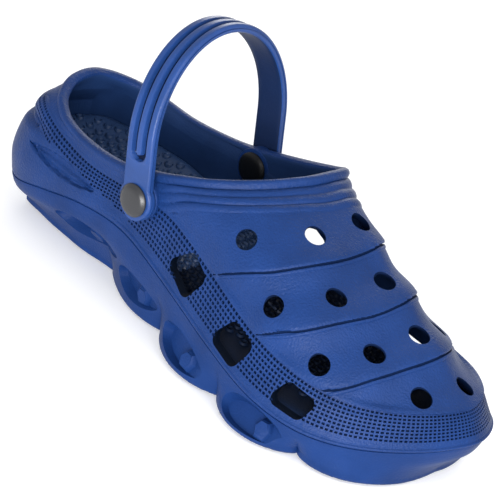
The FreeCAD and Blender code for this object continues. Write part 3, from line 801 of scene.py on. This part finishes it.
def make_outsole():
    st = Around(np.arange(SOLE_COLS) / SOLE_COLS)
    x = st.x
    seam_z = at(SEAM_Z, x)
    lobe = lobe_in(x)
    keys = [
        (lobe + TREAD_ROUND, 0 * x),
        (lobe + 0.2 * TREAD_ROUND, 0.3 * LOBE_Z + 0 * x),
        (lobe, LOBE_Z + 0 * x),
        (middle_in(x), 0.45 * seam_z),
        (shelf_in(x), 0.7 * seam_z),
        (at(SEAM_IN, x) + 0.6, 0.92 * seam_z),
        (at(SEAM_IN, x) + 0.3, 1.0 * seam_z),
    ]
    knots = np.array([st.ring(inset, z) for inset, z in keys])
    shares = np.concatenate([k + np.arange(n) / n for k, n in enumerate(SIDE_ROWS)]
                            + [[len(SIDE_ROWS)]])
    number = np.arange(len(keys))
    grid = hermite(number, knots.reshape(len(keys), -1), shares).reshape(len(shares), SOLE_COLS, 3)
    hidden = [st.ring(at(SEAM_IN, x) + 2.5, seam_z + 0.8),
              st.ring(wall_in(x, at(SEAT_Z, x)) - 0.5, at(SEAT_Z, x)),
              st.ring(wall_in(x, at(SEAT_Z, x)) + 1.5, at(SEAT_Z, x) - 0.6)]
    tread = [st.ring(lobe + TREAD_ROUND + 4, 0 * x), st.ring(lobe + TREAD_ROUND + 9, 0 * x)]
    rings = np.array(tread[::-1] + list(grid) + hidden)
    faces = quads(len(rings), SOLE_COLS)
    sole = new_object("outsole_body", rings.reshape(-1, 3), faces, [SOLE_BLUE])
    close_ends(sole)
    subtract(sole, sole_cutters(st) + tread_cutters())
    return sole


def close_ends(obj):
    """Fill the open ends of a ring solid."""
    bm = bmesh.new()
    bm.from_mesh(obj.data)
    open_edges = [e for e in bm.edges if e.is_boundary]
    bmesh.ops.holes_fill(bm, edges=open_edges, sides=0)
    bmesh.ops.recalc_face_normals(bm, faces=bm.faces)
    bm.to_mesh(obj.data)
    bm.free()


def leaf(half_length, half_height, scale, count=40):
    """Outline of a leaf: blunt at the back, pointed at the front, x then height."""
    points = []
    for a in np.linspace(0, 2 * math.pi, count, endpoint=False):
        c = math.cos(a)
        s = math.sin(a)
        taper = 1 - 0.28 * c
        points.append((half_length * scale * math.copysign(abs(c) ** 0.9, c),
                       half_height * scale * math.copysign(abs(s) ** 1.05, s) * taper))
    return np.array(points)


# Layers of a recess and of the post left in it: depth from the wall, then scale.
RECESS_LAYERS = ((-7.0, 1.1), (0.0, 1.06), (1.2, 1.0), (4.6, 0.86))
POST_LAYERS = ((-8.0, 0.8), (0.8, 0.8), (1.6, 1.0), (5.0, 1.35))
POST_OUTLINE = np.array([(-3.8, 0), (-2.2, 3.6), (2.0, 3.9), (4.0, 0.6), (2.8, -3.4), (-1.4, -3.9)])
POST_FITS_HEIGHT = 5.5


def layered(name, layers):
    """Closed solid through rings with the same number of points."""
    n = len(layers[0])
    faces = [tuple(f) for f in quads(len(layers), n)]
    faces += [tuple(range(n))[::-1], tuple(range((len(layers) - 1) * n, len(layers) * n))]
    return new_object(name, np.vstack(layers), faces, [SOLE_BLUE])


def sole_cutters(st):
    """Leaf recesses with a post in each, one in every lobe on both sides."""
    cutters = []
    for x, z, half_length, half_height, tilt in LENSES:
        c = math.cos(math.radians(tilt))
        s = math.sin(math.radians(tilt))
        for side in (-1, 1):
            reach = np.abs(st.base[:, 0] - x) + FAR * (st.base[:, 1] * side < 0)
            near = int(np.argmin(reach))
            low = st.base[near] + st.normal[near] * float(lobe_in(x)) + np.array([0, 0, LOBE_Z])
            high_z = 0.7 * float(at(SEAM_Z, x))
            high = st.base[near] + st.normal[near] * float(shelf_in(x)) + np.array([0, 0, high_z])
            origin = low + (high - low) * (z - LOBE_Z) / (high_z - LOBE_Z)
            rise = unit(high - low)
            inward = unit(st.normal[near] - rise * (st.normal[near] @ rise))
            along = unit(np.cross(inward, rise))
            if along[0] < 0:
                along = -along
            up = rise * c - along * s
            forward = along * c + rise * s
            rings = []
            for depth, scale in RECESS_LAYERS:
                shape = leaf(half_length, half_height, scale)
                fade = 1 - 0.5 * shape[:, :1] / half_length if depth > 1 else 1.0
                rings.append(origin + inward * depth * fade + shape[:, :1] * forward
                             + shape[:, 1:] * up)
            cutter = layered("recess", rings)
            post = []
            for depth, scale in POST_LAYERS:
                post.append(origin + inward * depth
                            + (POST_AHEAD + POST_OUTLINE[:, :1] * scale) * forward
                            + (POST_OUTLINE[:, 1:] * scale * half_height / POST_FITS_HEIGHT) * up)
            subtract(cutter, [layered("post", post)])
            cutters.append(cutter)
    return cutters


TREAD_FIRST_X = 25
TREAD_PITCH = 15
TREAD_COUNT = 16
TREAD_DEPTH = 1.6
# Section of a groove from its back edge, in x and z. It starts below the tread.
TREAD_SECTION = [(0, -5), (3, -5), (2.7, TREAD_DEPTH), (0.3, TREAD_DEPTH)]
TREAD_HALF_Y = 90


def tread_cutters():
    """Straight grooves across the tread."""
    cutters = []
    for k in range(TREAD_COUNT):
        back_edge = TREAD_FIRST_X + TREAD_PITCH * k
        section = [(back_edge + x, z) for x, z in TREAD_SECTION]
        cutters.append(prism("tread", section, -TREAD_HALF_Y, TREAD_HALF_Y, [SOLE_BLUE]))
    return cutters


# ---------------------------------------------------------------- insole
# The footbed is painted darker from here on, as painted shade where it lies under the vamp.
FOOTBED_SHADE_FROM_X = 128.0
INSOLE_COLS = 420
INSOLE_RINGS = 70
INSOLE_EDGE = 0.8
# Gap to the wall under the footbed and at its top.
INSOLE_GAP = (0.6, 0.5)
# The rings close in on a line along the footbed between these x, and stop just short of it.
SPINE_X = (34, 246)
SPINE_SHARE = 0.985
EDGE_RUN = 0.03
HEEL_CUP_HEIGHT = 7.0
HEEL_CUP_WIDTH = 11.0


def heel_cup(x, away):
    """Rise of the footbed towards the wall round the heel, by distance from the wall."""
    return HEEL_CUP_HEIGHT * np.exp(-(away / HEEL_CUP_WIDTH) ** 2) * (1 - smoothstep(60, 115, x))


def make_insole():
    st = Around(np.arange(INSOLE_COLS) / INSOLE_COLS)
    x = st.x
    seat = at(SEAT_Z, x)
    top = seat + INSOLE_THICK
    edge_low = st.ring(wall_in(x, seat) + INSOLE_GAP[0], seat)
    edge_high = st.ring(wall_in(x, top) + INSOLE_GAP[1], top - INSOLE_EDGE)
    centre_x = np.clip(x, *SPINE_X)
    centre = np.column_stack([centre_x, at(MID_Y, centre_x), np.zeros(INSOLE_COLS)])
    under = edge_low * 0.4 + centre * 0.6
    under[:, 2] = at(SEAT_Z, under[:, 0])
    rings = [under, edge_low, edge_high]
    for k in range(1, INSOLE_RINGS + 1):
        f = SPINE_SHARE * k / INSOLE_RINGS
        p = edge_high * (1 - f) + centre * f
        cup = heel_cup(p[:, 0], np.linalg.norm((p - edge_high)[:, :2], axis=1))
        crown = INSOLE_EDGE * (1 - np.exp(-(f / EDGE_RUN)))
        p[:, 2] = at(SEAT_Z, p[:, 0]) + INSOLE_THICK - INSOLE_EDGE + crown + cup
        rings.append(p)
    points = np.vstack(rings)
    faces = quads(len(rings), INSOLE_COLS)
    # Faces ahead of that line take the darker foam, as painted shade.
    front = points[faces[:, 0], 0] > FOOTBED_SHADE_FROM_X
    insole = new_object("footbed", points, faces, [FOOTBED, FOOTBED_FRONT_SHADE], front, smooth=60)
    close_ends(insole)
    return insole


# Half section of a massage cup: radius, height.
CUP_PROFILE = [(2.45, -1.0), (2.3, 0.5), (1.8, 1.0), (1.25, 0.6), (0.8, -0.3)]
CUP_BASE = -1.0
CUP_DIMPLE = -0.4
CUP_SIDES = 12
CUP_PITCH = 5.6
CUP_ROW_PITCH = 4.9
CUP_ROWS_X = (11.4, 240.0)
CUP_ROWS_Y = (-38.0, 38.0)
CUP_MARGIN = 3.2


def make_nubs():
    """Massage cups all over the footbed, in staggered rows."""
    points = []
    faces = []
    angle = np.linspace(0, 2 * math.pi, CUP_SIDES, endpoint=False)
    spokes = np.column_stack([np.cos(angle), np.sin(angle), np.zeros(CUP_SIDES)])
    count = len(CUP_PROFILE) * CUP_SIDES
    row = 0
    x = CUP_ROWS_X[0]
    while x < CUP_ROWS_X[1]:
        y = CUP_ROWS_Y[0] + (CUP_PITCH / 2 if row % 2 else 0.0)
        while y < CUP_ROWS_Y[1]:
            away = from_wall(x, y)
            if away > CUP_MARGIN:
                z = float(at(SEAT_Z, np.array(x))) + INSOLE_THICK + float(heel_cup(x, away))
                centre = np.array([x, y, z])
                first = len(points)
                for r, h in CUP_PROFILE:
                    points.extend(centre + spokes * r + np.array([0, 0, h]))
                points.append(centre + np.array([0, 0, CUP_BASE]))
                points.append(centre + np.array([0, 0, CUP_DIMPLE]))
                faces += [tuple(first + f) for f in quads(len(CUP_PROFILE), CUP_SIDES)]
                faces += [tuple(first + f) for f in cap_fan(0, CUP_SIDES, count, True)]
                faces += [tuple(first + f)
                          for f in cap_fan(count - CUP_SIDES, CUP_SIDES, count + 1, False)]
            y += CUP_PITCH
        x += CUP_ROW_PITCH
        row += 1
    points = np.array(points)
    # Cups ahead of that line take the darker foam, as painted shade.
    front = points[[f[0] for f in faces], 0] > FOOTBED_SHADE_FROM_X
    return new_object("footbed_cups", points, faces, [FOOTBED, FOOTBED_FRONT_SHADE], front, smooth=50)


OUTLINE = Around(np.arange(360) / 360)


def from_wall(x, y):
    """Distance from x, y on the footbed to the wall round it, negative outside."""
    z = float(at(SEAT_Z, np.array(x))) + INSOLE_THICK
    edge = OUTLINE.ring(wall_in(OUTLINE.x, z), 0)[:, :2]
    offset = np.array([x, y]) - edge
    near = int(np.argmin((offset ** 2).sum(axis=1)))
    inward = OUTLINE.normal[near, :2]
    return float(np.linalg.norm(offset[near]) * np.sign(offset[near] @ inward))


# ---------------------------------------------------------------- heel strap
Y_LOW = PAD_LATERAL[0] - STRAP_GAP
Y_HIGH = PAD_MEDIAL[0] + STRAP_GAP
STRAP_MID = (Y_LOW + Y_HIGH) / 2
STRAP_HALF = (Y_HIGH - Y_LOW) / 2
# The two grooves meet in a U whose centre lies this far from the pivot.
U_END = 23.5
LEG_STEPS = 90
ARCH_STEPS = 150
STRAP_GROOVE_DEPTH = 2.2
# Section of the strap's face by distance from its middle line: a rib, the two walls of the
# groove, and a low swell outside it. Nearer the pivot than PLAIN_REACH from U_END it is plain.
RIB_HALF = 1.8
RIB_RISE = 0.3
GROOVE_NEAR_WALL = (1.6, 2.0)
GROOVE_FAR_WALL = (4.1, 4.6)
SIDE_SWELL_AT = 6.0
SIDE_SWELL_WIDTH = 0.9
SIDE_SWELL_RISE = 0.25
PLAIN_REACH = 4.7
# Past this share of the groove's depth its faces take the near-black foam, as painted shade.
GROOVE_SHADE_FROM = 0.6
# Columns further out than this spread with the round eye.
EYE_SPREAD_FROM = 5
LEAST_HALF_WIDTH = 0.6
STRAP_COLUMNS = np.array([0, 0.6, 1.1, 1.5, 1.75, 2.0, 2.6, 3.5, 4.1, 4.35, 4.6, 5.0, 5.8, 6.8, 7.4])
# Rounded edge of the strap with its fine parting line: distance down, then pull inwards.
STRAP_EDGE = [(0.25, 0.55), (0.9, 0.05), (1.4, 0.0), (1.5, 0.5), (2.1, 0.5), (2.2, 0.0),
              (3.5, 0.1), (4.0, 0.7)]


def strap_line(by):
    """Points from one pivot over the arch to the other, at an offset out from the inside."""
    a = STRAP_HALF + by
    b = STRAP_TOP - STRAP_STRAIGHT - STRAP_THICK + by
    leg = np.linspace(-EYE_R, STRAP_STRAIGHT, LEG_STEPS)[:-1]
    arc = np.linspace(0, math.pi, ARCH_STEPS)
    y = np.concatenate([np.full(len(leg), -a), -a * np.cos(arc), np.full(len(leg), a)])
    z = np.concatenate([leg, STRAP_STRAIGHT + b * np.sin(arc), leg[::-1]])
    return np.column_stack([np.zeros(len(y)), STRAP_MID + y, z])


def make_strap():
    inside = strap_line(0.0)
    outside = strap_line(STRAP_THICK)
    rise = outside[:, 2]
    leg_count = LEG_STEPS - 1
    from_pivot = np.where(np.arange(len(outside)) < leg_count, rise, FAR)
    from_pivot[-leg_count:] = rise[-leg_count:]
    eye = np.sqrt(np.maximum(EYE_R ** 2 - from_pivot ** 2, 0.0))
    half = np.where(from_pivot < 0, eye,
                    np.maximum(STRAP_HALF_WIDTH, np.where(from_pivot < EYE_R, eye, 0)))
    half = np.maximum(half, LEAST_HALF_WIDTH)
    columns = np.concatenate([-STRAP_COLUMNS[:0:-1], STRAP_COLUMNS])
    outward = unit(outside - inside)
    length = len(outside)
    plain = from_pivot < U_END - PLAIN_REACH
    top = []
    sunk = []
    for w_mm in columns:
        share = w_mm / STRAP_HALF_WIDTH
        w = np.where(half < STRAP_HALF_WIDTH, share * half, np.sign(share) * abs(w_mm))
        w = np.where((half > STRAP_HALF_WIDTH) & (abs(w_mm) > EYE_SPREAD_FROM), share * half, w)
        d = np.where(from_pivot < U_END, np.hypot(w, U_END - from_pivot), np.abs(w))
        groove = smoothstep(*GROOVE_NEAR_WALL, d) * (1 - smoothstep(*GROOVE_FAR_WALL, d))
        groove = np.where(plain, 0, groove)
        rib = np.where(d < RIB_HALF, RIB_RISE * (1 - (d / RIB_HALF) ** 2), 0) * ~plain
        swell = np.exp(-((d - SIDE_SWELL_AT) / SIDE_SWELL_WIDTH) ** 2)
        side = SIDE_SWELL_RISE * swell * ~plain
        h = -STRAP_GROOVE_DEPTH * groove + rib + side
        sunk.append(groove > GROOVE_SHADE_FROM)
        p = outside + outward * h[:, None]
        p[:, 0] = w
        top.append(p)

    def edge(sign, drop_by, pull):
        p = outside - outward * drop_by
        p[:, 0] = sign * (half - pull)
        return p

    right = [edge(1, d, p) for d, p in STRAP_EDGE]
    left = [edge(-1, d, p) for d, p in STRAP_EDGE[::-1]]
    under = []
    for share in (0.6, 0.2, -0.2, -0.6):
        p = inside.copy()
        p[:, 0] = share * half
        under.append(p)
    loop = np.array(top + right + under + left).transpose(1, 0, 2)
    n = loop.shape[1]
    grid_faces = quads(length, n)
    faces = [tuple(f) for f in grid_faces]
    faces += [tuple(range(n))[::-1], tuple(range((length - 1) * n, length * n))]
    in_groove = np.zeros((length, n), bool)
    in_groove[:, :len(top)] = np.array(sunk).T
    groove_shade_faces = in_groove.ravel()[grid_faces].all(axis=1)
    points = loop.reshape(-1, 3)
    c = math.cos(STRAP_LEAN)
    s = math.sin(STRAP_LEAN)
    turned = points.copy()
    turned[:, 0] = PIVOT_X + points[:, 0] * c - points[:, 2] * s
    turned[:, 2] = PIVOT_Z + points[:, 0] * s + points[:, 2] * c
    # Faces on the inside of the strap take the darker foam, as painted shade.
    column = np.tile(np.arange(n), length - 1)
    under_first = len(top) + len(right)
    inside_shade_faces = (column >= under_first - 1) & (column < under_first + len(under))
    # Groove floors take the near-black foam, as painted shade.
    indices = np.concatenate([np.where(groove_shade_faces, 2, inside_shade_faces), [0, 0]])
    return new_object("strap_band", turned, faces, [STRAP_BLUE, STRAP_INSIDE_SHADE, STRAP_GROOVE_SHADE],
                      indices, smooth=40)


# ---------------------------------------------------------------- rivets
def dome(radius, height):
    """Rim, bevel and low crown of a round rivet head."""
    profile = [(0, 0), (radius - 0.3, 0), (radius, 0.3), (radius, 0.9), (radius - 0.25, 1.25)]
    for k in range(1, 7):
        a = math.pi / 2 * k / 7
        profile.append(((radius - 0.7) * math.cos(a) ** 0.6, 1.3 + (height - 1.3) * math.sin(a)))
    return profile + [(0, height)]


def make_rivets():
    heads = []
    for side, name, pad, eye_face in ((-1, "lateral", PAD_LATERAL, Y_LOW - STRAP_THICK),
                                      (1, "medial", PAD_MEDIAL, Y_HIGH + STRAP_THICK)):
        outer = np.array([PIVOT_X, eye_face + side * HEAD_GAP, PIVOT_Z])
        button = lathe("rivet_button_" + name, dome(BUTTON_R, BUTTON_H), outer, [0, side, 0],
                       [TAUPE], HEAD_SIDES)
        inner = np.array([PIVOT_X, pad[1], PIVOT_Z])
        cap = lathe("rivet_cap_" + name + "_head", dome(CAP_R, CAP_H), inner, [0, -side, 0],
                    [DARK_CAP], HEAD_SIDES)
        deep = abs(pad[0] - pad[1])
        pad_profile = [(0, 0), (PAD_R - 0.2, 0), (PAD_R, 0.3), (PAD_R, deep - 0.4),
                       (PAD_R - 0.3, deep), (0, deep)]
        boss = lathe("strap_seat_" + name, pad_profile, inner, [0, side, 0], [BLUE])
        heads.append((name, button, cap, boss))
    return heads


# ---------------------------------------------------------------- assembly
shell = make_shell()
cut_shell(shell)
band = make_band()
outsole = make_outsole()
insole = make_insole()
nubs = make_nubs()
strap = make_strap()

for piece, node, slot in ((shell, "upper", "upper_foam"), (band, "upper", "upper_foam"),
                          (outsole, "outsole", "sole_foam"), (insole, "insole", "insole_foam"),
                          (nubs, "insole", "insole_foam")):
    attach(piece, "clog")
    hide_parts(node)
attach(strap, "strap")
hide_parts("heel_strap")
for name, button, cap, boss in make_rivets():
    for piece, node, slot in ((button, "rivet_stud_" + name, "rivet_button"),
                              (cap, "rivet_cap_" + name, "rivet_cap"), (boss, "upper", "upper_foam")):
        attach(piece, "clog")
        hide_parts(node)

# ---------------------------------------------------------------- floor, camera and light
FLOOR_SIZE = 6.0
FLOOR_DROP = 0.0002
FLOOR_GREY = 0.88
FLOOR_GLOW = 0.24
bpy.ops.mesh.primitive_plane_add(size=FLOOR_SIZE, location=(0, 0, -FLOOR_DROP))
floor = bpy.context.object
floor.name = "floor"
floor_material, _, floor_shader = material("floor_white", (FLOOR_GREY,) * 3, 0.9, 0.1)
floor_shader.inputs["Emission Color"].default_value = (1, 1, 1, 1)
floor_shader.inputs["Emission Strength"].default_value = FLOOR_GLOW
floor.data.materials.append(floor_material)

AZIMUTH = 0.60995
ELEVATION = 0.49986
ROLL = 0.3085
DISTANCE = 1.20157
TARGET = Vector((0.002, 0.005, 0.045))
SENSOR = 36.0
LENS = 185.07
SHIFT = (-0.0204, 0.0049)
back = Vector((math.sin(AZIMUTH) * math.cos(ELEVATION), -math.cos(AZIMUTH) * math.cos(ELEVATION),
               math.sin(ELEVATION)))
level = Vector((math.cos(AZIMUTH), math.sin(AZIMUTH), 0))
rise = back.cross(level)
right = level * math.cos(ROLL) + rise * math.sin(ROLL)
up = rise * math.cos(ROLL) - level * math.sin(ROLL)
camera_data = bpy.data.cameras.new("camera")
camera_data.sensor_width = SENSOR
camera_data.lens = LENS
camera_data.shift_x, camera_data.shift_y = SHIFT
camera_data.clip_end = 20.0
camera = bpy.data.objects.new("camera", camera_data)
camera.matrix_world = Matrix.Translation(TARGET + back * DISTANCE) @ Matrix((
    (right.x, up.x, back.x, 0), (right.y, up.y, back.y, 0), (right.z, up.z, back.z, 0), (0, 0, 0, 1)))
bpy.context.collection.objects.link(camera)
bpy.context.scene.camera = camera


WORLD_LIGHT = 0.75


def softbox(name, direction, distance, size, power):
    """Square lamp that looks at the clog from a direction."""
    data = bpy.data.lights.new(name, "AREA")
    data.shape = "SQUARE"
    data.size = size
    data.energy = power
    lamp = bpy.data.objects.new(name, data)
    lamp.location = TARGET + direction.normalized() * distance
    lamp.rotation_euler = (-direction).to_track_quat("-Z", "Y").to_euler()
    bpy.context.collection.objects.link(lamp)


softbox("key", Vector((0.50, -0.85, 0.12)), 1.2, 0.7, 27)
softbox("toe_fill", Vector((0.72, -0.25, 0.65)), 0.33, 0.2, 0.42)
softbox("back_fill", Vector((-0.55, 0.80, 0.35)), 1.6, 0.8, 9)
world = bpy.data.worlds.new("studio")
world.use_nodes = True
world.node_tree.nodes["Background"].inputs["Color"].default_value = (1, 1, 1, 1)
world.node_tree.nodes["Background"].inputs["Strength"].default_value = WORLD_LIGHT
bpy.context.scene.world = world
bpy.context.scene.view_settings.view_transform = "Standard"
